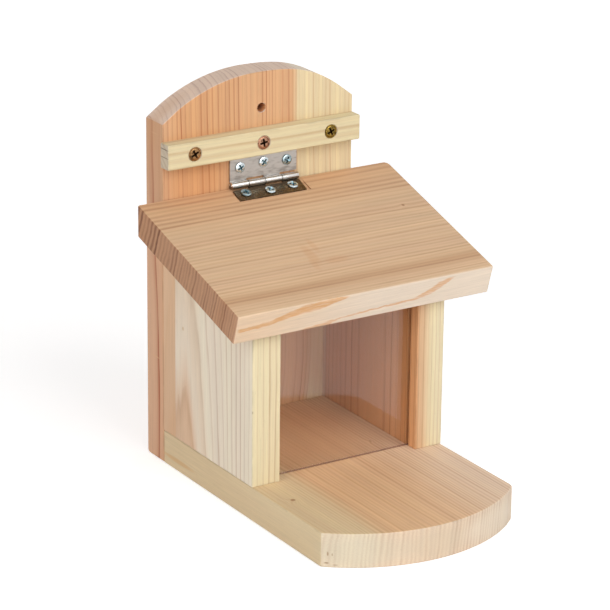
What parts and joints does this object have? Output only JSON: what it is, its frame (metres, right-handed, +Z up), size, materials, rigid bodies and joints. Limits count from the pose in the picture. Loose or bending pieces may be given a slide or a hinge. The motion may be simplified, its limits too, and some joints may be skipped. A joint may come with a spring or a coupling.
{
  "type": "squirrel feeder box",
  "caption": "Wooden squirrel feeder box with a curved feeding platform, a clear front pane, a nut hopper, and a sloping lid on a rear hinge, stopped by a batten on an arched back board.",
  "frame": {"origin": "centre of the box's width on the underside, halfway between the back face and the tip of the platform's nose", "axes": "+Z up, +Y to the back board's rear face, +X to the right as seen from the front"},
  "size_m": [0.1685, 0.2162, 0.2268],
  "materials": {
    "wood_back": "planed, unfinished",
    "wood_side": "planed, unfinished",
    "wood_base": "planed, unfinished",
    "wood_lid": "planed, unfinished",
    "wood_batten": "planed, unfinished",
    "hinge_steel": "bright",
    "zinc_screw": "bright zinc",
    "brass_screw": "yellow plated",
    "clear_plastic": "clear"
  },
  "bodies": {
    "box": {"back_board": "wood_back", "platform_base": "wood_base", "left_side_panel": "wood_side", "right_side_panel": "wood_side", "stop_batten": "wood_batten", "hinge_back_leaf": "hinge_steel", "hinge_pin": "hinge_steel", "batten_screw_left": "brass_screw", "batten_screw_middle": "brass_screw", "batten_screw_right": "brass_screw", "hinge_back_screw_left": "zinc_screw", "hinge_back_screw_middle": "zinc_screw", "hinge_back_screw_right": "zinc_screw", "back_screw_left_lower": "brass_screw", "back_screw_left_upper": "brass_screw", "back_screw_left_bottom": "brass_screw", "back_screw_right_lower": "brass_screw", "back_screw_right_upper": "brass_screw", "back_screw_right_bottom": "brass_screw", "base_screw_left_rear": "brass_screw", "base_screw_left_front": "brass_screw", "base_screw_right_rear": "brass_screw", "base_screw_right_front": "brass_screw"},
    "lid": {"lid_board": "wood_lid", "hinge_lid_leaf": "hinge_steel", "hinge_lid_screw_left": "zinc_screw", "hinge_lid_screw_middle": "zinc_screw", "hinge_lid_screw_right": "zinc_screw"},
    "pane": {"clear_pane": "clear_plastic"}
  },
  "joints": [
    {"name": "lid_hinge", "type": "hinge", "parent": "box", "child": "lid", "pos_m": [0.0024, 0.0837, 0.16219], "axis": [-1, 0, 0], "range_deg": [0, 94]},
    {"name": "pane_slide", "type": "slide", "parent": "box", "child": "pane", "axis": [0, 0, 1], "range_m": [0, 0.003]}
  ]
}
